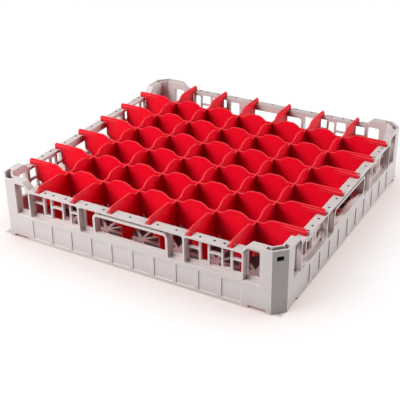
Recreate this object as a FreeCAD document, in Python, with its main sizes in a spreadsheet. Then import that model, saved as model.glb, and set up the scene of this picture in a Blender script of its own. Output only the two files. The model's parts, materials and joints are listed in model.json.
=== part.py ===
"""Square washing and storage rack for bottles and glasses, with a lift-out grid of red dividers.

The grey rack is held as four side walls, four corner posts and a floor grid that meet face to face.
Twelve divider strips stand in it: the column strips run front to back and carry slots open at the
top, and the row strips drop over them with slots open at the bottom.

Frame: millimetres, +Z up, origin on the ground under the middle of the rack, front wall towards -Y.
"""
import FreeCAD, Part
import Sketcher
import math
import os

# ---------------------------------------------------------------- driving sizes

SIZES = {
    # rack, outside
    "rack_length": 500.0,          # square footprint, outside to outside
    "post_height": 104.0,          # top of the corner posts
    "rail_top": 93.0,              # top of the rail along each side
    "rail_under": 88.0,            # underside of that rail
    "ledge_height": 44.7,          # top of the plain lower band
    "wall_depth": 13.5,            # outer face to inner face
    "recess_depth": 9.0,           # outer face to the face of the lattice
    "skin": 3.0,                   # moulded wall thickness of the lower band and the posts
    # openings in a side wall
    "hand_width": 124.2,
    "hand_bottom": 52.1,
    "hand_top": 80.5,
    "hand_round": 4.5,
    "hand_sill_drop": 5.0,         # how much lower the opening is behind its lip
    "hand_lip_depth": 7.0,
    "collar_width": 3.7,           # raised frame round the hand opening
    "inner_rib_place": 91.2,       # middle of the wall to the near side of the upright rib
    "rib_thickness": 2.8,
    "lattice_bar": 3.0,
    "centre_window": 19.0,
    "narrow_window": 11.6,
    "wide_window": 18.4,
    "side_window": 19.8,           # window beside the hand opening
    "side_window_gap": 1.4,        # from the collar to that window
    "narrow_window_top": 86.0,
    "wide_window_bottom": 47.8,
    "narrow_window_bottom": 50.8,
    "cross_bar_bottom": 67.5,
    "cross_bar_height": 2.8,
    "window_ease": 1.8,            # corners of the lattice windows are cut off by this much
    # shallow panels in the lower band
    "panel_pitch": 37.75,
    "panel_width": 31.0,
    "panel_bottom": 6.0,
    "panel_top": 38.3,
    "panel_sink": 1.2,
    "panel_count": 10,
    # seats for the divider tabs
    "seat_sink": 2.4,
    "seat_flare": 2.4,
    "fit_clearance": 0.3,
    # corner posts
    "corner_reach": 63.8,          # outside corner to the joint with the side wall
    "corner_chamfer": 17.2,
    "inner_chamfer": 10.0,
    "ramp_run": 11.2,
    "post_pocket_width": 24.9,
    "post_pocket_top": 98.4,
    "post_pocket_slant": 3.4,      # the slanted pocket edge lies this far below the ramp
    "post_window_inset": 2.0,
    "post_window_width": 21.2,
    "post_window_bottom": 48.8,
    "post_window_top": 90.3,
    "top_slot_reach": 29.0,        # outside corner to the end of the slot in the post's top
    "top_slot_bottom": 50.0,
    "clip_slot_width": 10.7,
    "clip_slot_height": 7.5,
    "clip_slot_middle": 90.75,
    "foot_notch_start": 53.0,      # outside corner to the far end of the notch in the foot
    "foot_notch_width": 28.0,
    "foot_notch_height": 5.5,
    # floor grid
    "floor_under": 2.0,
    "floor_thickness": 4.0,
    "floor_rib": 5.0,
    "floor_brace": 4.5,
    # divider strips
    "cell_count": 7,
    "divider_pitch": 67.44,
    "web": 2.0,
    "crown_top": 101.6,
    "valley_top": 93.5,
    "valley_half": 12.0,
    "crest_run": 10.7,
    "crest_ease": 3.2,             # the crest's upper bends are cut back by this much
    "leg_foot": 23.0,
    "leg_half": 7.7,
    "arch_top": 58.0,
    "post_foot": 37.0,
    "post_half": 5.0,
    "lap_height": 65.0,
    "lap_clearance": 0.15,
    "leg_reach": 221.0,            # middle of the rack to the outer edge of the end legs
    "tab_thickness": 6.0,
    "tab_setback": 1.5,            # tab end to the outer face of the rack
    "tab_ease": 1.8,               # corners of the tab's end, seen from above
    "tab_nose_run": 2.6,           # the tab's upper end slopes down over this length
    "tab_nose_drop": 3.2,
    "tab_taper_start": 205.0,
    "tab_flange_bottom": 93.2,
    "tab_flange_height": 4.6,
}


class Length:
    """A number together with the spreadsheet expression that gives it."""

    def __init__(self, number, text):
        self.number = number
        self.text = text

    def join(self, sign, other, number):
        return Length(number, "(" + self.text + " " + sign + " " + other.text + ")")

    def __add__(self, other):
        other = as_length(other)
        return self.join("+", other, self.number + other.number)

    def __sub__(self, other):
        other = as_length(other)
        return self.join("-", other, self.number - other.number)

    def __mul__(self, other):
        other = as_length(other)
        return self.join("*", other, self.number * other.number)

    def __truediv__(self, other):
        other = as_length(other)
        return self.join("/", other, self.number / other.number)

    def __neg__(self):
        return as_length(0) - self


def as_length(value):
    if isinstance(value, Length):
        return value
    return Length(float(value), str(value))


def size(name):
    return Length(float(SIZES[name]), "Sizes." + name)


doc = FreeCAD.newDocument("DividedRack")
sheet = doc.addObject("Spreadsheet::Sheet", "Sizes")
for row, (name, number) in enumerate(SIZES.items(), start=1):
    sheet.set("A%d" % row, name)
    sheet.set("B%d" % row, str(number))
    sheet.setAlias("B%d" % row, name)
doc.recompute()

# ---------------------------------------------------------------- lengths worked out from them

HALF = size("rack_length") / 2
INNER = HALF - size("wall_depth")
LATTICE_FACE = HALF - size("recess_depth")
WALL_END = HALF - size("corner_reach")
MOULDED = size("ledge_height") - size("skin")      # underside of the ledge
FIRST_STRIP = -size("divider_pitch") * (size("cell_count") - 2) / 2
STRIP_SPAN = size("divider_pitch") * (size("cell_count") - 2)
STRIP_COUNT = size("cell_count") - 1
SEAT_FLOOR = size("rail_top") - size("seat_sink")
TAB_END = HALF - size("tab_setback")
TAB_HALF = size("tab_thickness") / 2

# ---------------------------------------------------------------- modelling helpers


def new_body(name, turn=0, along=None):
    """A body turned about the upright axis; along is its distance sideways, as a Length."""
    body = doc.addObject("PartDesign::Body", name)
    body.Label = name
    upright = FreeCAD.Vector(0, 0, 1)
    body.Placement = FreeCAD.Placement(FreeCAD.Vector(0, 0, 0), FreeCAD.Rotation(upright, turn))
    if along is not None:
        if turn == 0:
            body.setExpression("Placement.Base.y", along.text)
        else:
            body.setExpression("Placement.Base.x", along.text)
    return body


def origin_feature(body, role):
    for feature in body.Origin.OriginFeatures:
        if feature.Role == role:
            return feature
    raise ValueError("no origin feature " + role)


def new_sketch(body, name, plane, out=None):
    """A sketch on an origin plane, moved out along the plane's normal by a Length."""
    sketch = body.newObject("Sketcher::SketchObject", name)
    sketch.AttachmentSupport = (origin_feature(body, plane), [""])
    sketch.MapMode = "FlatFace"
    if out is not None:
        sketch.setExpression("AttachmentOffset.Base.z", out.text)
    return sketch


def fix_point(sketch, geometry, vertex, place):
    """Tie a point to the sketch's origin by two lengths."""
    for kind, length in zip(("DistanceX", "DistanceY"), place):
        index = sketch.addConstraint(
            Sketcher.Constraint(kind, -1, 1, geometry, vertex, length.number))
        sketch.setExpression("Constraints[%d]" % index, length.text)


def vector(place):
    return FreeCAD.Vector(place[0].number, place[1].number, 0)


def draw_outline(sketch, places):
    """A closed outline of straight edges through places, each a pair of Lengths."""
    first = sketch.GeometryCount
    count = len(places)
    for index in range(count):
        start = vector(places[index])
        end = vector(places[(index + 1) % count])
        sketch.addGeometry(Part.LineSegment(start, end))
    for index in range(count):
        following = first + (index + 1) % count
        sketch.addConstraint(Sketcher.Constraint("Coincident", first + index, 2, following, 1))
    for index, place in enumerate(places):
        fix_point(sketch, first + index, 1, place)


def draw_box(sketch, left, right, bottom, top):
    draw_outline(sketch, [(left, bottom), (right, bottom), (right, top), (left, top)])


def draw_eased_box(sketch, left, right, bottom, top, ease):
    """A box with its four corners cut off at 45 degrees."""
    draw_outline(sketch, [
        (left + ease, bottom), (right - ease, bottom),
        (right, bottom + ease), (right, top - ease),
        (right - ease, top), (left + ease, top),
        (left, top - ease), (left, bottom + ease),
    ])


def draw_round_box(sketch, left, right, bottom, top, radius):
    """A box with four round corners, drawn anticlockwise from the lower left."""
    centres = [
        (left + radius, bottom + radius),
        (right - radius, bottom + radius),
        (right - radius, top - radius),
        (left + radius, top - radius),
    ]
    first = sketch.GeometryCount
    quarter = math.pi / 2
    upward = FreeCAD.Vector(0, 0, 1)
    for index, centre in enumerate(centres):
        circle = Part.Circle(vector(centre), upward, radius.number)
        begin = (index + 2) * quarter
        sketch.addGeometry(Part.ArcOfCircle(circle, begin, begin + quarter))
    for index in range(4):
        start = sketch.getPoint(first + index, 2)
        end = sketch.getPoint(first + (index + 1) % 4, 1)
        sketch.addGeometry(Part.LineSegment(start, end))
    for index, centre in enumerate(centres):
        arc = first + index
        fix_point(sketch, arc, 3, centre)
        radius_index = sketch.addConstraint(Sketcher.Constraint("Radius", arc, radius.number))
        sketch.setExpression("Constraints[%d]" % radius_index, radius.text)
        start_kind, end_kind = ("Horizontal", "Vertical") if index % 2 == 0 else ("Vertical", "Horizontal")
        sketch.addConstraint(Sketcher.Constraint(start_kind, arc, 3, arc, 1))
        sketch.addConstraint(Sketcher.Constraint(end_kind, arc, 3, arc, 2))
        side = first + 4 + index
        sketch.addConstraint(Sketcher.Constraint("Coincident", arc, 2, side, 1))
        sketch.addConstraint(Sketcher.Constraint("Coincident", side, 2, first + (index + 1) % 4, 1))


def pad(body, name, sketch, length, midplane=False, inward=False):
    feature = body.newObject("PartDesign::Pad", name)
    feature.Profile = sketch
    feature.Midplane = midplane
    feature.Reversed = inward
    feature.Refine = False
    feature.setExpression("Length", length.text)
    sketch.Visibility = False
    return feature


def pocket(body, name, sketch, length, midplane=False, upward=False):
    """Cut against the sketch's normal, or along it when upward is set."""
    feature = body.newObject("PartDesign::Pocket", name)
    feature.Profile = sketch
    feature.Midplane = midplane
    feature.Reversed = upward
    feature.Refine = False
    feature.setExpression("Length", length.text)
    sketch.Visibility = False
    return feature


def pattern(body, name, feature, axis, span, count):
    copies = body.newObject("PartDesign::LinearPattern", name)
    copies.Originals = [feature]
    copies.Direction = (origin_feature(body, axis), [""])
    copies.setExpression("Length", span.text)
    copies.setExpression("Occurrences", count.text)
    copies.Refine = False
    body.Tip = copies
    return copies


def mirror(body, name, features, plane):
    copy = body.newObject("PartDesign::Mirrored", name)
    copy.Originals = features
    copy.MirrorPlane = (origin_feature(body, plane), [""])
    copy.Refine = False
    body.Tip = copy
    return copy


# ---------------------------------------------------------------- grey rack


def side_wall(name, turn):
    """One side between two corner posts: lower band, lattice, hand opening and rail."""
    body = new_body(name, turn)
    skin = size("skin")

    section = new_sketch(body, name + "_section", "YZ_Plane")
    draw_outline(section, [
        (-HALF, as_length(0)),
        (-HALF, size("ledge_height")),
        (-LATTICE_FACE, size("ledge_height")),
        (-LATTICE_FACE, size("rail_under")),
        (-HALF, size("rail_under")),
        (-HALF, size("rail_top")),
        (-INNER, size("rail_top")),
        (-INNER, as_length(0)),
        (-INNER - skin, as_length(0)),
        (-INNER - skin, MOULDED),
        (skin - HALF, MOULDED),
        (skin - HALF, as_length(0)),
    ])
    pad(body, name + "_run", section, WALL_END * 2, midplane=True)

    rib_start = size("inner_rib_place")
    rib_end = rib_start + size("rib_thickness")
    rib_sketch = new_sketch(body, name + "_rib_sketch", "XZ_Plane", HALF)
    draw_box(rib_sketch, rib_start, rib_end, size("ledge_height"), size("rail_under"))
    rib = pad(body, name + "_rib", rib_sketch, size("recess_depth"), inward=True)
    mirror(body, name + "_ribs", [rib], "YZ_Plane")

    hand_half = size("hand_width") / 2
    collar_half = hand_half + size("collar_width")
    collar_top = size("hand_top") + size("collar_width")
    collar_sketch = new_sketch(body, name + "_collar_sketch", "XZ_Plane", HALF)
    draw_box(collar_sketch, -collar_half, collar_half, size("ledge_height"), collar_top)
    pad(body, name + "_collar", collar_sketch, size("recess_depth"), inward=True)

    hand_sketch = new_sketch(body, name + "_hand_sketch", "XZ_Plane", HALF)
    draw_round_box(hand_sketch, -hand_half, hand_half,
                   size("hand_bottom"), size("hand_top"), size("hand_round"))
    pocket(body, name + "_hand_opening", hand_sketch, size("wall_depth") + 1)
    lip = size("hand_lip_depth")
    sill_sketch = new_sketch(body, name + "_sill_sketch", "XZ_Plane", HALF - lip)
    draw_box(sill_sketch, -hand_half, hand_half,
             size("hand_bottom") - size("hand_sill_drop"), size("hand_top") - size("hand_round"))
    pocket(body, name + "_sill", sill_sketch, size("wall_depth") + 1 - lip)

    barred = new_sketch(body, name + "_barred_window_sketch", "XZ_Plane", HALF)
    draw_barred_windows(barred, rib_end)
    barred_cut = pocket(body, name + "_barred_windows", barred, size("wall_depth") + 1)
    plain = new_sketch(body, name + "_plain_window_sketch", "XZ_Plane", HALF)
    draw_plain_windows(plain, rib_end, collar_half)
    plain_cut = pocket(body, name + "_plain_windows", plain, size("wall_depth") + 1)
    mirror(body, name + "_lattice", [barred_cut, plain_cut], "YZ_Plane")

    panel_sketch = new_sketch(body, name + "_panel_sketch", "XZ_Plane", HALF)
    first_panel = -size("panel_pitch") * (size("panel_count") - 1) / 2
    panel_half = size("panel_width") / 2
    draw_box(panel_sketch, first_panel - panel_half, first_panel + panel_half,
             size("panel_bottom"), size("panel_top"))
    panel = pocket(body, name + "_panel", panel_sketch, size("panel_sink"))
    pattern(body, name + "_panels", panel, "X_Axis",
            size("panel_pitch") * (size("panel_count") - 1), size("panel_count"))

    seat_half = TAB_HALF + size("fit_clearance")
    seat_top_half = seat_half + size("seat_flare")
    over = size("rail_top") + 1
    over_half = seat_top_half + size("seat_flare") / size("seat_sink")
    seat_sketch = new_sketch(body, name + "_seat_sketch", "XZ_Plane", HALF)
    draw_outline(seat_sketch, [
        (FIRST_STRIP - seat_half, SEAT_FLOOR),
        (FIRST_STRIP + seat_half, SEAT_FLOOR),
        (FIRST_STRIP + over_half, over),
        (FIRST_STRIP - over_half, over),
    ])
    seat = pocket(body, name + "_seat", seat_sketch, size("wall_depth") + 1)
    pattern(body, name + "_seats", seat, "X_Axis", STRIP_SPAN, STRIP_COUNT)
    return body


def draw_barred_windows(sketch, pocket_start):
    """The wide, centre and wide windows of one lattice, each crossed by a bar."""
    ease = size("window_ease")
    middle = (pocket_start + WALL_END) / 2
    centre_half = size("centre_window") / 2
    wide_start = centre_half + size("lattice_bar") * 2 + size("narrow_window")
    wide_end = wide_start + size("wide_window")
    bar_bottom = size("cross_bar_bottom")
    bar_top = bar_bottom + size("cross_bar_height")
    for start, end in ((-wide_end, -wide_start), (-centre_half, centre_half), (wide_start, wide_end)):
        left, right = middle + start, middle + end
        draw_eased_box(sketch, left, right, size("wide_window_bottom"), bar_bottom, ease)
        draw_box(sketch, left, right, bar_top, size("rail_under"))


def draw_plain_windows(sketch, pocket_start, collar_half):
    """The two narrow windows of one lattice, and the window beside the hand opening."""
    middle = (pocket_start + WALL_END) / 2
    start = size("centre_window") / 2 + size("lattice_bar")
    end = start + size("narrow_window")
    side_start = collar_half + size("side_window_gap")
    side_end = side_start + size("side_window")
    for left, right in ((middle - end, middle - start), (middle + start, middle + end),
                        (side_start, side_end)):
        draw_eased_box(sketch, left, right,
                       size("narrow_window_bottom"), size("narrow_window_top"), size("window_ease"))


def corner_post(name, turn):
    """The corner between the front wall and the right-hand wall, turned to its own corner."""
    body = new_body(name, turn)
    skin = size("skin")
    chamfer = size("corner_chamfer")
    inner_chamfer = size("inner_chamfer")
    height = size("post_height")

    plan = new_sketch(body, name + "_plan", "XY_Plane")
    draw_outline(plan, corner_band(WALL_END, as_length(0)))
    pad(body, name + "_block", plan, height)

    hollow = new_sketch(body, name + "_hollow_sketch", "XY_Plane")
    draw_outline(hollow, corner_band(WALL_END - 1, skin))
    pocket(body, name + "_hollow", hollow, MOULDED, upward=True)

    top_slot = new_sketch(body, name + "_top_slot_sketch", "XY_Plane", height)
    draw_outline(top_slot, corner_band(HALF - size("top_slot_reach"), skin))
    pocket(body, name + "_top_slot", top_slot, height - size("top_slot_bottom"))

    for leg, plane, side in (("front", "XZ_Plane", 1), ("right", "YZ_Plane", -1)):
        cut_post_leg(body, name + "_" + leg, plane, as_length(side))

    clip = new_sketch(body, name + "_clip_sketch", "XZ_Plane")
    face = HALF - chamfer / 2
    clip.AttachmentOffset = FreeCAD.Placement(
        FreeCAD.Vector(0, 0, 0), FreeCAD.Rotation(FreeCAD.Vector(0, 1, 0), 45))
    clip.setExpression("AttachmentOffset.Base.x", face.text)
    clip.setExpression("AttachmentOffset.Base.z", face.text)
    clip_half = size("clip_slot_width") / 2
    clip_rise = size("clip_slot_height") / 2
    draw_box(clip, -clip_half, clip_half,
             size("clip_slot_middle") - clip_rise, size("clip_slot_middle") + clip_rise)
    pocket(body, name + "_clip_slot", clip, skin + 1)
    return body


def corner_band(start, inset):
    """Plan of the corner between its outer and inner faces, both drawn in by inset."""
    slope = math.tan(math.pi / 8)            # how far a 45 degree corner moves as its sides move in
    outer = HALF - inset
    inner = INNER + inset
    outer_turn = HALF - size("corner_chamfer") - inset * slope
    inner_turn = INNER - size("inner_chamfer") + inset * slope
    return [
        (start, -outer),
        (outer_turn, -outer),
        (outer, -outer_turn),
        (outer, -start),
        (inner, -start),
        (inner, -inner_turn),
        (inner_turn, -inner),
        (start, -inner),
    ]


def cut_post_leg(body, name, plane, side):
    """Ramp, pocket, window and foot notch in one leg of a post; side mirrors the sketch."""
    start = WALL_END
    pocket_start = start + size("rib_thickness")
    pocket_end = pocket_start + size("post_pocket_width")
    height = size("post_height")
    rise = height - size("rail_top")
    over = height + 1
    over_run = size("ramp_run") * (rise + 1) / rise

    ramp = new_sketch(body, name + "_ramp_sketch", plane, HALF)
    draw_outline(ramp, [
        (side * (start - 1), size("rail_top")),
        (side * start, size("rail_top")),
        (side * (start + over_run), over),
        (side * (start - 1), over),
    ])
    pocket(body, name + "_ramp", ramp, size("wall_depth"))

    slant = size("ramp_run") / rise
    slant_low = size("rail_top") - size("post_pocket_slant") + size("rib_thickness") / slant
    slant_run = (size("post_pocket_top") - slant_low) * slant
    recess = new_sketch(body, name + "_pocket_sketch", plane, HALF)
    draw_outline(recess, [
        (side * pocket_start, size("ledge_height")),
        (side * pocket_end, size("ledge_height")),
        (side * pocket_end, size("post_pocket_top")),
        (side * (pocket_start + slant_run), size("post_pocket_top")),
        (side * pocket_start, slant_low),
    ])
    pocket(body, name + "_pocket", recess, size("recess_depth"))

    window_start = pocket_start + size("post_window_inset")
    window_end = window_start + size("post_window_width")
    window = new_sketch(body, name + "_window_sketch", plane, HALF)
    left, right = window_start, window_end
    if side.number < 0:
        left, right = side * window_end, side * window_start
    draw_eased_box(window, left, right,
                   size("post_window_bottom"), size("post_window_top"), size("window_ease"))
    pocket(body, name + "_window", window, size("wall_depth"))

    notch_start = HALF - size("foot_notch_start")
    notch_end = notch_start + size("foot_notch_width")
    notch = new_sketch(body, name + "_notch_sketch", plane, HALF)
    draw_outline(notch, [
        (side * notch_start, as_length(-1)),
        (side * notch_end, as_length(-1)),
        (side * notch_end, size("foot_notch_height")),
        (side * notch_start, size("foot_notch_height")),
    ])
    pocket(body, name + "_foot_notch", notch, size("skin") + 1)


def floor_grid(name):
    """Floor of ribs under the dividers with crossed braces in every cell."""
    body = new_body(name)
    turn = INNER - size("inner_chamfer")
    plan = new_sketch(body, name + "_plan", "XY_Plane", size("floor_under"))
    draw_outline(plan, [
        (-turn, -INNER), (turn, -INNER), (INNER, -turn), (INNER, turn),
        (turn, INNER), (-turn, INNER), (-INNER, turn), (-INNER, -turn),
    ])
    pad(body, name + "_plate", plan, size("floor_thickness"))

    cell = -size("divider_pitch") * (size("cell_count") - 1) / 2
    rib_side = (size("divider_pitch") - size("floor_rib")) / 2
    tip = size("floor_brace") * math.sqrt(0.5)     # half a brace's width, along a cell's axis
    base = rib_side - tip
    holes = new_sketch(body, name + "_hole_sketch", "XY_Plane", size("floor_under"))
    for across, up in ((0, -1), (1, 0), (0, 1), (-1, 0)):
        draw_outline(holes, [
            (cell + tip * across, cell + tip * up),
            (cell + rib_side * across - base * up, cell + rib_side * up + base * across),
            (cell + rib_side * across + base * up, cell + rib_side * up - base * across),
        ])
    cut = pocket(body, name + "_holes", holes, size("floor_thickness"), upward=True)
    grid = body.newObject("PartDesign::MultiTransform", name + "_grid")
    grid.Originals = [cut]
    steps = []
    for axis in ("X_Axis", "Y_Axis"):
        step = body.newObject("PartDesign::LinearPattern", name + "_" + axis[0].lower() + "_step")
        step.Direction = (origin_feature(body, axis), [""])
        step.setExpression("Length", (size("divider_pitch") * (size("cell_count") - 1)).text)
        step.setExpression("Occurrences", size("cell_count").text)
        steps.append(step)
    grid.Transformations = steps
    body.Tip = grid
    return body


# ---------------------------------------------------------------- red dividers


def divider(name, turn, along, slots_at_top):
    """One strip with end tabs; it crosses the others with half-height slots."""
    body = new_body(name, turn, along)
    crown = size("crown_top")
    valley = size("valley_top")
    foot = size("leg_foot")
    post_half = size("post_half")
    crossing = FIRST_STRIP

    blank = new_sketch(body, name + "_outline", "XZ_Plane")
    shoulder = TAB_END - TAB_HALF
    draw_outline(blank, [
        (-shoulder, crown), (-shoulder, SEAT_FLOOR), (-size("leg_reach"), SEAT_FLOOR),
        (-size("leg_reach"), foot), (size("leg_reach"), foot), (size("leg_reach"), SEAT_FLOOR),
        (shoulder, SEAT_FLOOR), (shoulder, crown),
    ])
    pad(body, name + "_web", blank, size("web"), midplane=True)

    dip_sketch = new_sketch(body, name + "_dip_sketch", "XZ_Plane")
    draw_outline(dip_sketch, scallop(crossing))
    dip = pocket(body, name + "_dip", dip_sketch, size("web") * 2, midplane=True)
    pattern(body, name + "_dips", dip, "X_Axis", STRIP_SPAN, STRIP_COUNT)

    reach = size("divider_pitch") / 2 - size("leg_half")
    arch_sketch = new_sketch(body, name + "_arch_sketch", "XZ_Plane")
    under = foot - 1
    draw_outline(arch_sketch, [
        (crossing - reach, under), (crossing - reach, foot),
        (crossing - post_half, size("arch_top")), (crossing - post_half, size("post_foot")),
        (crossing + post_half, size("post_foot")), (crossing + post_half, size("arch_top")),
        (crossing + reach, foot), (crossing + reach, under),
    ])
    arch = pocket(body, name + "_arch", arch_sketch, size("web") * 2, midplane=True)
    pattern(body, name + "_arches", arch, "X_Axis", STRIP_SPAN, STRIP_COUNT)

    slot_half = size("web") / 2 + size("lap_clearance")
    slot_sketch = new_sketch(body, name + "_slot_sketch", "XZ_Plane")
    if slots_at_top:
        slot_bottom, slot_top = size("lap_height") - size("lap_clearance"), valley + 1
    else:
        slot_bottom, slot_top = size("post_foot") - 1, size("lap_height") + size("lap_clearance")
    draw_box(slot_sketch, crossing - slot_half, crossing + slot_half, slot_bottom, slot_top)
    slot = pocket(body, name + "_slot", slot_sketch, size("web") * 2, midplane=True)
    pattern(body, name + "_slots", slot, "X_Axis", STRIP_SPAN, STRIP_COUNT)

    knob_sketch = new_sketch(body, name + "_knob_sketch", "XY_Plane", SEAT_FLOOR)
    draw_tab_end(knob_sketch, shoulder - TAB_HALF, TAB_HALF)
    knob = pad(body, name + "_knob", knob_sketch, crown - SEAT_FLOOR)
    flange_sketch = new_sketch(body, name + "_flange_sketch", "XY_Plane",
                               size("tab_flange_bottom"))
    web_half = size("web") / 2
    draw_outline(flange_sketch, [
        (size("tab_taper_start"), -web_half), (shoulder, -TAB_HALF),
        (shoulder, TAB_HALF), (size("tab_taper_start"), web_half),
    ])
    flange = pad(body, name + "_flange", flange_sketch, size("tab_flange_height"))
    nose_sketch = new_sketch(body, name + "_nose_sketch", "XZ_Plane")
    draw_outline(nose_sketch, [
        (TAB_END - size("tab_nose_run"), crown), (TAB_END, crown - size("tab_nose_drop")),
        (TAB_END + 1, crown - size("tab_nose_drop")), (TAB_END + 1, crown + 1),
        (TAB_END - size("tab_nose_run"), crown + 1),
    ])
    nose = pocket(body, name + "_nose", nose_sketch, size("tab_thickness") * 2, midplane=True)
    mirror(body, name + "_tabs", [knob, flange, nose], "YZ_Plane")
    return body


def scallop(crossing):
    """Outline of the dip in a strip's top edge at one crossing, with its upper bends cut back."""
    crown = size("crown_top")
    valley = size("valley_top")
    ease = size("crest_ease")
    slope = (crown - valley) / size("crest_run")
    foot = size("valley_half")
    head = foot + size("crest_run")
    half = [
        (foot, valley),
        (head - ease, crown - ease * slope),
        (head + ease, crown),
        (head + ease * 2, crown + 1),
    ]
    right = [(crossing + run, rise) for run, rise in half]
    left = [(crossing - run, rise) for run, rise in reversed(half)]
    return left + right


def draw_tab_end(sketch, start, half):
    """A flat bar seen from above, from start outwards, with both outer corners cut off."""
    ease = size("tab_ease")
    draw_outline(sketch, [
        (start, -half), (TAB_END - ease, -half), (TAB_END, ease - half),
        (TAB_END, half - ease), (TAB_END - ease, half), (start, half),
    ])


# ---------------------------------------------------------------- the assembly

bodies = []
for name, turn in (("front", 0), ("right", 90), ("back", 180), ("left", 270)):
    bodies.append(side_wall("side_wall_" + name, turn))
for name, turn in (("front_right", 0), ("back_right", 90), ("back_left", 180), ("front_left", 270)):
    bodies.append(corner_post("corner_post_" + name, turn))
bodies.append(floor_grid("floor_grid"))
for index in range(SIZES["cell_count"] - 1):
    place = FIRST_STRIP + size("divider_pitch") * index
    bodies.append(divider("divider_column_%d" % (index + 1), 90, place, slots_at_top=True))
for index in range(SIZES["cell_count"] - 1):
    place = FIRST_STRIP + size("divider_pitch") * index
    bodies.append(divider("divider_row_%d" % (index + 1), 0, place, slots_at_top=False))
for body in bodies:
    body.Tip.Refine = True
doc.recompute()

for item in doc.Objects:
    if "Invalid" in item.State or "Error" in item.State:
        raise RuntimeError(item.Label + " is " + ", ".join(item.State))
os.makedirs("parts", exist_ok=True)
for body in bodies:
    if body.Shape.isNull() or not body.Shape.isValid() or len(body.Shape.Solids) != 1:
        raise RuntimeError(body.Label + " is not one valid solid")
for body in bodies:
    body.Shape.exportStep("parts/" + body.Label + ".step")
    print(body.Label, round(body.Shape.Volume / 1000, 1), "cm3")
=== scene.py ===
import json
import math

import bmesh
import bpy
from mathutils import Matrix, Vector


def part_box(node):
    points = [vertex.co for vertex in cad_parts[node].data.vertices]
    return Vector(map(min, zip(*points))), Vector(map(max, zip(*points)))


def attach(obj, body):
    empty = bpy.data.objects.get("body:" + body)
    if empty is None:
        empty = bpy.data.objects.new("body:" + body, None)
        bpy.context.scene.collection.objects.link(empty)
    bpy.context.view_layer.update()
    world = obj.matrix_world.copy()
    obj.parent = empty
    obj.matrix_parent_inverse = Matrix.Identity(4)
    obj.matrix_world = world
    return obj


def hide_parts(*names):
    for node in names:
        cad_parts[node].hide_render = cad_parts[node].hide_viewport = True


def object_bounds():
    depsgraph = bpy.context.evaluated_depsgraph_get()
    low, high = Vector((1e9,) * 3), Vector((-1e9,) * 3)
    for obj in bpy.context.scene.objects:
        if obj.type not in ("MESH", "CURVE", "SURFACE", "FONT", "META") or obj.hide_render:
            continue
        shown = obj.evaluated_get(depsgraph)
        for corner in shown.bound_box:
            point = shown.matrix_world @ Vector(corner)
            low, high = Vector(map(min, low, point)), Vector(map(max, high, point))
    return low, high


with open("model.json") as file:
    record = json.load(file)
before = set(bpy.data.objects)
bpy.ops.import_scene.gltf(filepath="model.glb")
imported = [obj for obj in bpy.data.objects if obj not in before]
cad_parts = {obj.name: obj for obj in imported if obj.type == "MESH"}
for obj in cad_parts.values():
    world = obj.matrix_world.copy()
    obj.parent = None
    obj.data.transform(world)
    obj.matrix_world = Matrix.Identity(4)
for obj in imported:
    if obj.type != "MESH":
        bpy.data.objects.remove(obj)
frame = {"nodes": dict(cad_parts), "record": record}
cad_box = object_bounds()

# A square washing and storage rack on a white studio table. The grey rack and the red divider strips
# start from the solids of the frame. Their edges are rounded over, and what the solids leave out is
# added: fillets in the walls' recesses, round corners on the frames of the hand openings, moulding
# marks with painted shade inside, dark plates of painted shade at the backs of the clip slots, and the
# webs that close the ends of the strips.
# Metres, +Z up, the front wall towards -Y.

MM = 0.001
NODES = frame["nodes"]
BODIES = frame["record"]["behaviour"]["bodies"]
LOW, HIGH = cad_box
MIDDLE = (LOW + HIGH) / 2
HALF = (HIGH.x - LOW.x) / 2

# The walls, in the order of quarter turns from the front. Reaches are from a wall's middle, along it.
WALLS = ["side_wall_front", "side_wall_right", "side_wall_back", "side_wall_left"]
RAIL_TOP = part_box(WALLS[0])[1].z
RAIL_UNDER = RAIL_TOP - 5 * MM
LEDGE = LOW.z + 44.7 * MM             # top of the plain lower band
LEDGE_ROUND = 2.2 * MM
RECESS = 9.0 * MM                     # depth of the recesses over that band
RIB_START = 91.2 * MM
RIB_END = RIB_START + 2.8 * MM
WALL_END = 186.2 * MM
NICHE_ROUND = 4.0 * MM                # fillets in the corners of the recesses
COLLAR_TOP = LOW.z + 84.2 * MM        # the collar is the frame round a hand opening
COLLAR_HALF = 65.8 * MM
COLLAR_ROUND = 8.2 * MM
CORNER_STEPS = 6                      # straight pieces in the arc of a rounded corner

# Corners of the collar and of the recesses: reach, height, and the way into the corner's own space.
COLLAR_CORNERS = [(COLLAR_HALF, COLLAR_TOP, (-1, -1))]
NICHE_CORNERS = [(COLLAR_HALF, LEDGE, (1, 1)), (RIB_START, LEDGE, (-1, 1)),
                 (RIB_START, RAIL_UNDER, (-1, -1)), (RIB_END, LEDGE, (1, 1)),
                 (RIB_END, RAIL_UNDER, (1, -1)), (WALL_END, LEDGE, (-1, 1)),
                 (WALL_END, RAIL_UNDER, (-1, -1))]

# Marks that the mould's pins leave: ejector dimples in the rails, pin marks over the hand openings.
DIMPLE_PLACES = [place * MM for place in (0, 47.5, 79, 118, 141, 157)]
DIMPLE_INSET = 5 * MM                 # outer face of the rack to the middle of a dimple
DIMPLE_RADIUS = 2.0 * MM
DIMPLE_DEPTH = 2.5 * MM
DIMPLE_SIDES = 16
PIN_INSET = 3.4 * MM
PIN_PLACE = 54 * MM

# The clip slot in the chamfer of each corner post, with a dark plate of painted shade behind it.
POST_COUNT = 4
CHAMFER_MIDDLE = 241.4 * MM           # middle of the rack to the chamfer's middle, along both axes
CLIP_SLOT_HEIGHT = LOW.z + 90.7 * MM
CLIP_SHADE_SIZE = (15 * MM, 1 * MM, 12 * MM)
CLIP_SHADE_DEPTH = 3.6 * MM           # the chamfer's face to the middle of the dark plate

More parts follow.
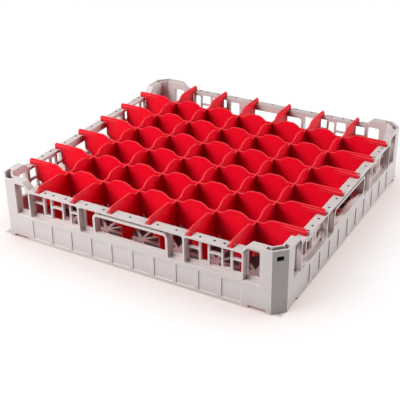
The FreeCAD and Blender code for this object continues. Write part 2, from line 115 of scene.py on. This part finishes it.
# The divider strips. Reaches are from the middle of the rack, along a strip.
WEB = 2.0 * MM                        # thickness of a strip
LEG_REACH = 221 * MM                  # end of the web in the solid
WALL_REACH = 236 * MM                 # inner face of a wall, less a little room
WEB_LAP = 3 * MM                      # the added web runs back this far into the strip
END_TOP = RAIL_TOP - 0.4 * MM         # heights of the added web: top, outer foot and inner foot
END_LOW = LOW.z + 66 * MM
END_LEG = LOW.z + 56 * MM
SHELF_TOP = LOW.z + 97.8 * MM         # the shelves on both sides of a tab's crest
SHOULDER_START = 238 * MM             # from here on, a tab keeps nothing over its shelves but the crest
SHOULDER_WIDTH = 5 * MM               # wider than any tab, to each side
TAB_END_DEPTH = 6.8 * MM              # a tab's blunt end lies this close to the rack's outer faces

# Rounding and cleaning of meshes.
BEND = math.radians(16)               # a fold in the surface sharper than this is rounded over
RACK_EDGE_ROUND = 0.5 * MM
STRIP_EDGE_ROUND = 0.3 * MM
TAB_END_ROUND = 0.7 * MM
BROAD_STEPS = 4
FINE_STEPS = 2
LARGE_FACES_LEAD = 100                # how strongly flat faces keep their own shading beside an edge
WELD = 0.004 * MM
SLIVER = 0.01 * MM
FLAT = math.radians(0.5)
TOUCHING = 0.05 * MM
CUT_START = 1 * MM                    # a cut starts this far outside the piece
CUT_SHORT = 0.02 * MM                 # the collar's cut ends this far in front of the recess's back
SUNK = 0.5 * MM                       # fillets and cuts run this far into the faces beside them

# Painted shade in nooks, and the moulded skin.
PAINTED_SHADE_REACH = 28 * MM                  # how near other faces have to be for painted shade in a nook
SKIN_HEIGHT = 0.05 * MM

# The table. The camera sees the rest of its white as a glow.
TABLE_REACH = 6.0
TABLE_WHITE = (0.45, 0.445, 0.445, 1)
TABLE_SEEN = (0.20, 0.198, 0.198, 1)
# The table under the rack takes a darker colour: painted shade.
TABLE_SHADE_BELOW = (0.15, 0.145, 0.14, 1)
TABLE_SHADED = (0.45, 0.19, 0.14, 1)  # the glow's colour right at the rack's foot: a painted pinkish shadow
TABLE_GLOW = 0.88
FOOT_SHADE = 160 * MM                 # how far out from the rack's foot the painted shadow in the glow reaches
FOOT_FADE = 12 * MM                   # the strip inside the rack's outer faces where the glow begins

# The room, the lamps and the camera.
ROOM_LIGHT = 0.02
LAMP_DISTANCE = 2.2
LAMP_WIDTH, LAMP_HEIGHT = 1.2, 1.0
CAMERA_SENSOR, CAMERA_LENS = 36.0, 79.67
CAMERA_AZIMUTH, CAMERA_ELEVATION, CAMERA_ROLL = 29.75, 28.34, -0.68
CAMERA_AIM = Vector((-21.3, -0.6, 0)) * MM  # from the middle of the rack's foot
CAMERA_DISTANCE = 1.5407

# The colour mix node has sockets of one name for numbers and colours: the places of the colour ones.
FIRST_COLOUR, SECOND_COLOUR, MIXED_COLOUR = 6, 7, 2


# ---------------------------------------------------------------- shader helpers


def new_group(name, inputs, outputs):
    """A shader node group; inputs are (name, kind, default), outputs are (name, kind)."""
    group = bpy.data.node_groups.new(name, "ShaderNodeTree")
    for label, kind, default in inputs:
        socket = group.interface.new_socket(label, in_out="INPUT", socket_type=kind)
        if default is not None:
            socket.default_value = default
    for label, kind in outputs:
        group.interface.new_socket(label, in_out="OUTPUT", socket_type=kind)
    return group, group.nodes.new("NodeGroupInput"), group.nodes.new("NodeGroupOutput")


def feed(tree, socket, value):
    """Give a socket a fixed number or colour, or link another node's output to it."""
    if isinstance(value, bpy.types.NodeSocket):
        tree.links.new(value, socket)
    else:
        socket.default_value = value


def add_node(tree, kind, values=None, **settings):
    """A new node with its settings, and its inputs fed by name."""
    node = tree.nodes.new(kind)
    for name, value in settings.items():
        setattr(node, name, value)
    for name, value in (values or {}).items():
        feed(tree, node.inputs[name], value)
    return node


def math_node(tree, operation, first, second, clamp=False):
    node = add_node(tree, "ShaderNodeMath", operation=operation, use_clamp=clamp)
    feed(tree, node.inputs[0], first)
    feed(tree, node.inputs[1], second)
    return node.outputs[0]


def noise(tree, place, scale, detail, roughness=0.5):
    values = {"Vector": place, "Scale": scale, "Detail": detail, "Roughness": roughness}
    return add_node(tree, "ShaderNodeTexNoise", values).outputs["Fac"]


def blend(tree, factor, first, second):
    """A colour between two others, each of them fixed or from a socket."""
    mix = add_node(tree, "ShaderNodeMix", {"Factor": factor}, data_type="RGBA")
    feed(tree, mix.inputs[FIRST_COLOUR], first)
    feed(tree, mix.inputs[SECOND_COLOUR], second)
    return mix.outputs[MIXED_COLOUR]


def highest(tree, masks):
    """1 where any of the masks is 1."""
    level = masks[0]
    for mask in masks[1:]:
        level = math_node(tree, "MAXIMUM", level, mask)
    return level


def new_material(name):
    """A material with nodes, its node tree and its surface shader."""
    material = bpy.data.materials.new(name)
    material.use_nodes = True
    return material, material.node_tree, material.node_tree.nodes["Principled BSDF"]


# ---------------------------------------------------------------- shared effects


def moulded_skin_group():
    """Spark-eroded mould skin: a very fine pebbled height and a slightly uneven gloss."""
    group, source, result = new_group(
        "moulded_skin",
        [("Place", "NodeSocketVector", None), ("Pebble Scale", "NodeSocketFloat", 900.0),
         ("Gloss", "NodeSocketFloat", 0.45), ("Gloss Spread", "NodeSocketFloat", 0.08)],
        [("Height", "NodeSocketFloat"), ("Roughness", "NodeSocketFloat")])
    place = source.outputs["Place"]
    pebbles = noise(group, place, source.outputs["Pebble Scale"], 3.0, roughness=0.6)
    swirl = noise(group, place, 26.0, 3.0)
    height = math_node(group, "ADD", pebbles, math_node(group, "MULTIPLY", swirl, 0.6))
    centred = math_node(group, "SUBTRACT", swirl, 0.5)
    change = math_node(group, "MULTIPLY", centred, source.outputs["Gloss Spread"])
    feed(group, result.inputs["Height"], height)
    feed(group, result.inputs["Roughness"], math_node(group, "ADD", source.outputs["Gloss"], change))
    return group


def tone_drift_group():
    """Slow drift of the resin's colour over a large moulding."""
    group, source, result = new_group(
        "tone_drift",
        [("Place", "NodeSocketVector", None), ("Colour", "NodeSocketColor", (0.5, 0.5, 0.5, 1)),
         ("Drift", "NodeSocketFloat", 0.05)],
        [("Colour", "NodeSocketColor")])
    slow = noise(group, source.outputs["Place"], 7.0, 2.0)
    fine = noise(group, source.outputs["Place"], 60.0, 4.0)
    mixed = math_node(group, "ADD", math_node(group, "MULTIPLY", slow, 0.7),
                      math_node(group, "MULTIPLY", fine, 0.3))
    centred = math_node(group, "SUBTRACT", mixed, 0.5)
    change = math_node(group, "MULTIPLY", centred, source.outputs["Drift"])
    shade = add_node(group, "ShaderNodeHueSaturation",
                     {"Color": source.outputs["Colour"], "Value": math_node(group, "ADD", change, 1.0)})
    feed(group, result.inputs["Colour"], shade.outputs["Color"])
    return group


def painted_highlight_group():
    """A mask that is 1 on a sharp bend of the surface, where highlights are painted along the edges."""
    group, source, result = new_group(
        "painted_highlight",
        [("Reach", "NodeSocketFloat", 0.0014), ("Strength", "NodeSocketFloat", 10.0)],
        [("Mask", "NodeSocketFloat")])
    rounded = add_node(group, "ShaderNodeBevel", {"Radius": source.outputs["Reach"]}, samples=6)
    plain = add_node(group, "ShaderNodeNewGeometry")
    alike = add_node(group, "ShaderNodeVectorMath", operation="DOT_PRODUCT")
    feed(group, alike.inputs[0], rounded.outputs["Normal"])
    feed(group, alike.inputs[1], plain.outputs["Normal"])
    turn = math_node(group, "SUBTRACT", 1.0, alike.outputs["Value"])
    mask = math_node(group, "MULTIPLY", turn, source.outputs["Strength"], clamp=True)
    feed(group, result.inputs["Mask"], mask)
    return group


MOULDED_SKIN = moulded_skin_group()
TONE_DRIFT = tone_drift_group()
PAINTED_HIGHLIGHT = painted_highlight_group()


# ---------------------------------------------------------------- plastics


def moulded_plastic(name, colour, highlight_colour, highlight_strength, highlight_reach, painted_shade_colour, bounce_colour,
                    gloss, specular):
    """Injection-moulded polypropylene: drifted colour, painted highlights on the edges, painted shade
    in the nooks, a colour of its own for bounced light, fine skin.
    """
    material, tree, surface = new_material(name)
    surface.inputs["IOR"].default_value = 1.49
    surface.inputs["Specular IOR Level"].default_value = specular
    place = add_node(tree, "ShaderNodeTexCoord").outputs["Object"]

    drift = add_node(tree, "ShaderNodeGroup", {"Place": place, "Colour": colour}, node_tree=TONE_DRIFT)
    # Faces near other faces take a darker colour: painted shade in the nooks.
    open_air = add_node(tree, "ShaderNodeAmbientOcclusion", {"Distance": PAINTED_SHADE_REACH}, samples=8)
    shaded_colour = blend(tree, open_air.outputs["AO"], painted_shade_colour, drift.outputs["Colour"])
    # Sharp edges take a lighter colour: a painted highlight.
    edge = add_node(tree, "ShaderNodeGroup", {"Reach": highlight_reach}, node_tree=PAINTED_HIGHLIGHT)
    mask = math_node(tree, "MULTIPLY", edge.outputs["Mask"], highlight_strength)
    highlighted = blend(tree, mask, shaded_colour, highlight_colour)
    # Bounced light takes bounce_colour, without the painted highlight and shade; for the red it is
    # darker than the seen colour, which paints shade into the light passed between the strips.
    bounced = add_node(tree, "ShaderNodeLightPath").outputs["Is Diffuse Ray"]
    feed(tree, surface.inputs["Base Color"], blend(tree, bounced, highlighted, bounce_colour))

    skin = add_node(tree, "ShaderNodeGroup", {"Place": place, "Gloss": gloss}, node_tree=MOULDED_SKIN)
    feed(tree, surface.inputs["Roughness"], skin.outputs["Roughness"])
    bump = add_node(tree, "ShaderNodeBump", {"Height": skin.outputs["Height"], "Strength": 0.12,
                                             "Distance": SKIN_HEIGHT})
    feed(tree, surface.inputs["Normal"], bump.outputs["Normal"])
    return material


def dark_hollow(name, level):
    """The unlit inside of a small hole."""
    material, _, surface = new_material(name)
    surface.inputs["Base Color"].default_value = (level, level * 0.95, level * 0.92, 1)
    surface.inputs["Roughness"].default_value = 0.9
    surface.inputs["Specular IOR Level"].default_value = 0.1
    return material


GREY_PLASTIC = moulded_plastic(
    "grey_polypropylene_moulding", colour=(0.72, 0.648, 0.636, 1), highlight_colour=(0.88, 0.82, 0.81, 1),
    highlight_strength=0.75, highlight_reach=1.4 * MM, painted_shade_colour=(0.46, 0.38, 0.36, 1),
    bounce_colour=(0.72, 0.65, 0.64, 1), gloss=0.46, specular=0.5)
RED_PLASTIC = moulded_plastic(
    "red_polypropylene_sheet", colour=(0.96, 0.002, 0.022, 1), highlight_colour=(1.0, 0.11, 0.12, 1),
    highlight_strength=1.0, highlight_reach=2.0 * MM, painted_shade_colour=(0.30, 0.0, 0.012, 1),
    bounce_colour=(0.74, 0.006, 0.02, 1), gloss=0.5, specular=0.22)
SLOT_SHADE = dark_hollow("slot_shade", 0.006)
DIMPLE_SHADE = dark_hollow("dimple_shade", 0.03)


# ---------------------------------------------------------------- meshes


def tidy_faces(mesh):
    """Weld a mesh and clear the seams inside its flat faces."""
    shape = bmesh.new()
    shape.from_mesh(mesh)
    bmesh.ops.remove_doubles(shape, verts=shape.verts, dist=WELD)
    bmesh.ops.dissolve_limit(shape, angle_limit=FLAT, use_dissolve_boundaries=False,
                             verts=shape.verts, edges=shape.edges, delimit={"MATERIAL"})
    shape.to_mesh(mesh)
    shape.free()


def clean_copy(node_name, piece_name):
    """The solid of one node as a new piece, welded and without the seams inside its flat faces."""
    mesh = NODES[node_name].data.copy()
    mesh.name = piece_name
    mesh.materials.clear()
    tidy_faces(mesh)
    piece = bpy.data.objects.new(piece_name, mesh)
    bpy.context.scene.collection.objects.link(piece)
    return piece


def tool_mesh(name, shape, *materials):
    """The finished mesh of a tool or of a small piece, with its materials."""
    mesh = bpy.data.meshes.new(name)
    shape.to_mesh(mesh)
    shape.free()
    for material in materials:
        mesh.materials.append(material)
    return mesh


def combine(piece, tool, operation):
    """Cut a tool's shape out of a piece, or add it on, and drop the tool."""
    holder = bpy.data.objects.new("tool", tool)
    bpy.context.scene.collection.objects.link(holder)
    change = piece.modifiers.new("change", "BOOLEAN")
    change.operation = operation
    change.solver = "EXACT"
    change.object = holder
    bpy.context.view_layer.update()
    result = piece.evaluated_get(bpy.context.evaluated_depsgraph_get())
    piece.data = bpy.data.meshes.new_from_object(result)
    tidy_faces(piece.data)
    piece.modifiers.remove(change)
    bpy.data.objects.remove(holder)
    bpy.data.meshes.remove(tool)


def add_prism(shape, outline, start, end):
    """A straight prism: a closed outline of places, carried over from the start to the end."""
    near = [shape.verts.new(place + start) for place in outline]
    far = [shape.verts.new(place + end) for place in outline]
    sides = [shape.faces.new(near), shape.faces.new(list(reversed(far)))]
    for index in range(len(outline)):
        follow = (index + 1) % len(outline)
        sides.append(shape.faces.new((near[follow], near[index], far[index], far[follow])))
    bmesh.ops.recalc_face_normals(shape, faces=sides)


def round_edges(piece, radius, is_broad, broad_radius):
    """Round every sharp edge over, as a mould leaves it, and some of them more broadly."""
    shape = bmesh.new()
    shape.from_mesh(piece.data)
    weight = shape.edges.layers.float.new("bevel_weight_edge")
    broad = []
    for edge in shape.edges:
        if edge.calc_face_angle(0) < BEND:
            continue
        if is_broad(edge):
            broad.append(edge)
        else:
            edge[weight] = 1
    if broad:
        bmesh.ops.bevel(shape, geom=broad, offset=broad_radius, offset_type="OFFSET",
                        segments=BROAD_STEPS, profile=0.5, affect="EDGES", clamp_overlap=True)
        bmesh.ops.dissolve_degenerate(shape, dist=SLIVER, edges=shape.edges)
    scraps = {face for edge in shape.edges if edge.is_boundary for face in edge.link_faces}
    bmesh.ops.delete(shape, geom=list(scraps), context="FACES")
    for face in shape.faces:
        face.smooth = True
    shape.to_mesh(piece.data)
    shape.free()
    bevel = piece.modifiers.new("rounded_edges", "BEVEL")
    bevel.width = radius
    bevel.segments = FINE_STEPS
    bevel.limit_method = "WEIGHT"
    bevel.use_clamp_overlap = True
    flat_faces = piece.modifiers.new("flat_faces", "WEIGHTED_NORMAL")
    flat_faces.mode = "FACE_AREA"
    flat_faces.weight = LARGE_FACES_LEAD


def from_outside(place):
    """How far a place lies in from the rack's outer faces, along whichever axis is nearer."""
    return HALF - max(abs(place.x - MIDDLE.x), abs(place.y - MIDDLE.y))


def quarter_turned(place, turns):
    """A place on the front side, carried round to another side by quarter turns."""
    x, y = place.x - MIDDLE.x, place.y - MIDDLE.y
    for _ in range(turns):
        x, y = -y, x
    return Vector((MIDDLE.x + x, MIDDLE.y + y, place.z))


def add_piece(piece, body, replaced=None):
    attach(piece, body)
    if replaced:
        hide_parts(replaced)


# ---------------------------------------------------------------- the rack


def wall_marks(turns):
    """Centres of the ejector dimples in one rail's top, and of the pin marks over its opening."""
    line = LOW.y + DIMPLE_INSET
    for reach in DIMPLE_PLACES:
        for side in ((1,) if reach == 0 else (-1, 1)):
            yield quarter_turned(Vector((MIDDLE.x + side * reach, line, RAIL_TOP)), turns)
    line = LOW.y + PIN_INSET
    for side in (-1, 1):
        yield quarter_turned(Vector((MIDDLE.x + side * PIN_PLACE, line, COLLAR_TOP)), turns)


def marks_tool(turns):
    """Round pins that stand in one wall's marks; their faces carry the dark material, painted shade for
    the inside of the marks.
    """
    shape = bmesh.new()
    for centre in wall_marks(turns):
        bmesh.ops.create_cone(shape, cap_ends=True, segments=DIMPLE_SIDES, radius1=DIMPLE_RADIUS,
                              radius2=DIMPLE_RADIUS, depth=DIMPLE_DEPTH * 2,
                              matrix=Matrix.Translation(centre))
    for face in shape.faces:
        face.material_index = 1
    return tool_mesh("marks_tool", shape, GREY_PLASTIC, DIMPLE_SHADE)


def corner_outline(corner, inward, radius):
    """What lies between a square corner and the arc that rounds it, in the plane of a front wall.

    The outline is a little larger than that, past both sides of the corner.
    """
    x, z = inward
    centre = corner + Vector((x * radius, 0, z * radius))
    arc = []
    for step in range(CORNER_STEPS + 1):
        turn = math.pi / 2 * step / CORNER_STEPS
        arc.append(centre - Vector((x * math.cos(turn), 0, z * math.sin(turn))) * radius)
    beside = Vector((x * SUNK, 0, 0))
    beyond = Vector((0, 0, z * SUNK))
    return [corner - beside - beyond, arc[0] - beside] + arc + [arc[-1] - beyond]


def corner_tool(turns, corners, radius, start_depth, end_depth):
    """Prisms through a wall's outer layers that round its corners, on both halves of the wall."""
    shape = bmesh.new()
    for reach, height, (x, z) in corners:
        for side in (-1, 1):
            outline = corner_outline(Vector((side * reach, 0, height)), (side * x, z), radius)
            add_prism(shape, outline, Vector((0, start_depth - HALF, 0)),
                      Vector((0, end_depth - HALF, 0)))
    for vert in shape.verts:
        vert.co = quarter_turned(vert.co + Vector((MIDDLE.x, MIDDLE.y, 0)), turns)
    return tool_mesh("corner_tool", shape, GREY_PLASTIC)


def is_ledge_edge(edge):
    """The long front edge of the lower band."""
    return all(abs(corner.co.z - LEDGE) < TOUCHING and from_outside(corner.co) < TOUCHING
               for corner in edge.verts)


def dress_rack(node_name, body):
    """A wall, a corner post or the floor grid; walls also get round corners and the pins' marks."""
    piece = clean_copy(node_name, node_name + "_moulding")
    piece.data.materials.append(GREY_PLASTIC)
    if node_name in WALLS:
        turns = WALLS.index(node_name)
        piece.data.materials.append(DIMPLE_SHADE)
        combine(piece, corner_tool(turns, COLLAR_CORNERS, COLLAR_ROUND, -CUT_START,
                                   RECESS - CUT_SHORT), "DIFFERENCE")
        combine(piece, corner_tool(turns, NICHE_CORNERS, NICHE_ROUND, 0, RECESS + SUNK), "UNION")
        combine(piece, marks_tool(turns), "DIFFERENCE")
    round_edges(piece, RACK_EDGE_ROUND, is_ledge_edge, LEDGE_ROUND)
    add_piece(piece, body, node_name)


def clip_slot_shade(turns):
    """A dark plate at the back of the slot in one post's chamfer: painted shade."""
    shape = bmesh.new()
    bmesh.ops.create_cube(shape, size=1, matrix=Matrix.Diagonal((*CLIP_SHADE_SIZE, 1)))
    shade = bpy.data.objects.new("clip_slot_shade_%d" % (turns + 1),
                                 tool_mesh("clip_slot_shade", shape, SLOT_SHADE))
    reach = CHAMFER_MIDDLE - CLIP_SHADE_DEPTH * math.sqrt(0.5)
    shade.location = quarter_turned(
        Vector((MIDDLE.x + reach, MIDDLE.y - reach, CLIP_SLOT_HEIGHT)), turns)
    shade.rotation_euler.z = math.radians(45 + 90 * turns)
    bpy.context.scene.collection.objects.link(shade)
    add_piece(shade, "rack")


# ---------------------------------------------------------------- the divider


def strip_tool(name, shape, node_name):
    """A tool drawn along X about the middle, moved into its strip and turned to lie along it."""
    low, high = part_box(node_name)
    if high.x - low.x < high.y - low.y:
        for vert in shape.verts:
            vert.co.x, vert.co.y = -vert.co.y, vert.co.x
    tool = tool_mesh(name, shape, RED_PLASTIC)
    tool.transform(Matrix.Translation(Vector(((low.x + high.x) / 2, (low.y + high.y) / 2, 0))))
    return tool


def tab_shoulder_tool(node_name):
    """What a tab's end loses beside the crest, so that its two shelves run on to the end."""
    shape = bmesh.new()
    reach, top = HALF + CUT_START, HIGH.z + CUT_START
    places = [(SHOULDER_START, SHELF_TOP), (reach, SHELF_TOP), (reach, top), (SHOULDER_START, top)]
    for side in (-1, 1):
        outline = [Vector((side * run, 0, rise)) for run, rise in places]
        for wing in (-1, 1):
            add_prism(shape, outline, Vector((0, wing * WEB / 2, 0)),
                      Vector((0, wing * SHOULDER_WIDTH, 0)))
    return strip_tool("tab_shoulder_tool", shape, node_name)


def strip_end_tool(node_name):
    """The web that closes a strip's ends against the walls, under both of its tabs."""
    shape = bmesh.new()
    root = LEG_REACH - WEB_LAP
    places = [(root, END_TOP), (WALL_REACH, END_TOP), (WALL_REACH, END_LOW),
              (LEG_REACH, END_LEG), (root, END_LEG)]
    for side in (-1, 1):
        add_prism(shape, [Vector((side * run, 0, rise)) for run, rise in places],
                  Vector((0, -WEB / 2, 0)), Vector((0, WEB / 2, 0)))
    return strip_tool("strip_end_tool", shape, node_name)


def is_tab_edge(edge):
    """An edge of the blunt end of a divider tab."""
    return all(from_outside(corner.co) < TAB_END_DEPTH for corner in edge.verts)


def dress_strip(node_name, body):
    """A divider strip, with trimmed tabs and closed ends."""
    piece = clean_copy(node_name, node_name + "_moulding")
    piece.data.materials.append(RED_PLASTIC)
    combine(piece, tab_shoulder_tool(node_name), "DIFFERENCE")
    combine(piece, strip_end_tool(node_name), "UNION")
    round_edges(piece, STRIP_EDGE_ROUND, is_tab_edge, TAB_END_ROUND)
    add_piece(piece, body, node_name)


for body, members in BODIES.items():
    for node_name in members:
        if node_name.startswith("divider"):
            dress_strip(node_name, body)
        else:
            dress_rack(node_name, body)
for turns in range(POST_COUNT):
    clip_slot_shade(turns)


# ---------------------------------------------------------------- studio


def outside_rack(tree):
    """A mask over the table: 0 under the rack, and 1 from its outer faces outwards."""
    position = add_node(tree, "ShaderNodeNewGeometry").outputs["Position"]
    place = add_node(tree, "ShaderNodeSeparateXYZ", {"Vector": position})
    across = math_node(tree, "SUBTRACT", place.outputs["X"], MIDDLE.x)
    along = math_node(tree, "SUBTRACT", place.outputs["Y"], MIDDLE.y)
    reach = math_node(tree, "MAXIMUM", math_node(tree, "ABSOLUTE", across, 0),
                      math_node(tree, "ABSOLUTE", along, 0))
    past_start = math_node(tree, "SUBTRACT", reach, HALF - FOOT_FADE)
    return math_node(tree, "DIVIDE", past_start, FOOT_FADE, clamp=True)


def studio_floor():
    """A white table: white to the camera, with a painted shadow in its glow at the rack's foot and
    painted shade under the rack.
    """
    reach = TABLE_REACH
    mesh = bpy.data.meshes.new("studio_floor")
    mesh.from_pydata([(-reach, -reach, 0), (reach, -reach, 0), (reach, reach, 0), (-reach, reach, 0)],
                     [], [(0, 1, 2, 3)])
    floor = bpy.data.objects.new("studio_floor", mesh)
    floor.location.z = LOW.z
    bpy.context.scene.collection.objects.link(floor)
    material, tree, surface = new_material("white_table")
    surface.inputs["Roughness"].default_value = 0.8
    surface.inputs["Specular IOR Level"].default_value = 0.0
    outside = outside_rack(tree)
    path = add_node(tree, "ShaderNodeLightPath").outputs
    table = blend(tree, path["Is Camera Ray"], TABLE_WHITE, TABLE_SEEN)
    # Under the rack the table takes a darker colour: painted shade.
    feed(tree, surface.inputs["Base Color"], blend(tree, outside, TABLE_SHADE_BELOW, table))
    # Near the rack's foot the glow turns towards TABLE_SHADED: a painted shadow.
    open_sky = add_node(tree, "ShaderNodeAmbientOcclusion", {"Distance": FOOT_SHADE}, samples=12)
    feed(tree, surface.inputs["Emission Color"],
         blend(tree, open_sky.outputs["AO"], TABLE_SHADED, (1, 1, 1, 1)))
    seen = highest(tree, [path["Is Camera Ray"], path["Is Glossy Ray"], path["Is Transmission Ray"]])
    level = math_node(tree, "MULTIPLY", math_node(tree, "MULTIPLY", seen, outside), TABLE_GLOW)
    feed(tree, surface.inputs["Emission Strength"], level)
    mesh.materials.append(material)


def studio_world():
    """A dim room, and plain white wherever it is looked at."""
    world = bpy.data.worlds.new("studio_world")
    bpy.context.scene.world = world
    world.use_nodes = True
    tree = world.node_tree
    path = add_node(tree, "ShaderNodeLightPath").outputs
    seen = highest(tree, [path["Is Camera Ray"], path["Is Transmission Ray"]])
    level = math_node(tree, "ADD", math_node(tree, "MULTIPLY", seen, 1 - ROOM_LIGHT), ROOM_LIGHT)
    feed(tree, tree.nodes["Background"].inputs["Strength"], level)
    tree.nodes["Background"].inputs["Color"].default_value = (1, 1, 1, 1)


def away_from_rack(azimuth, elevation):
    """The direction from the rack to a place that looks at it; azimuth 0 stands in front of it."""
    turn, lift = math.radians(azimuth), math.radians(elevation)
    return Vector((math.sin(turn) * math.cos(lift), -math.cos(turn) * math.cos(lift), math.sin(lift)))


def soft_box(name, azimuth, elevation, power):
    """A broad lamp on a stand, aimed at the rack."""
    lamp = bpy.data.lights.new(name, "AREA")
    lamp.shape = "RECTANGLE"
    lamp.size = LAMP_WIDTH
    lamp.size_y = LAMP_HEIGHT
    lamp.energy = power
    holder = bpy.data.objects.new(name, lamp)
    out = away_from_rack(azimuth, elevation)
    holder.location = MIDDLE + out * LAMP_DISTANCE
    holder.rotation_mode = "QUATERNION"
    holder.rotation_quaternion = out.to_track_quat("Z", "Y")
    bpy.context.scene.collection.objects.link(holder)


def studio_camera():
    """A long lens above the near corner, looking down across the rack."""
    data = bpy.data.cameras.new("studio_camera")
    data.sensor_width = CAMERA_SENSOR
    data.lens = CAMERA_LENS
    camera = bpy.data.objects.new("studio_camera", data)
    turn, roll = math.radians(CAMERA_AZIMUTH), math.radians(CAMERA_ROLL)
    back = away_from_rack(CAMERA_AZIMUTH, CAMERA_ELEVATION)
    across = Vector((math.cos(turn), math.sin(turn), 0))
    up = back.cross(across)
    right = across * math.cos(roll) + up * math.sin(roll)
    upright = up * math.cos(roll) - across * math.sin(roll)
    pose = Matrix((right, upright, back)).transposed().to_4x4()
    pose.translation = Vector((MIDDLE.x, MIDDLE.y, LOW.z)) + CAMERA_AIM + back * CAMERA_DISTANCE
    camera.matrix_world = pose
    bpy.context.scene.collection.objects.link(camera)
    bpy.context.scene.camera = camera


studio_floor()
studio_world()
soft_box("key_soft_box", -34, 40, 49)
soft_box("left_soft_box", -80, 15, 20)
soft_box("right_soft_box", 121, 15, 25)
soft_box("back_soft_box", 140, 32, 13)
studio_camera()
bpy.context.scene.view_settings.view_transform = "Standard"
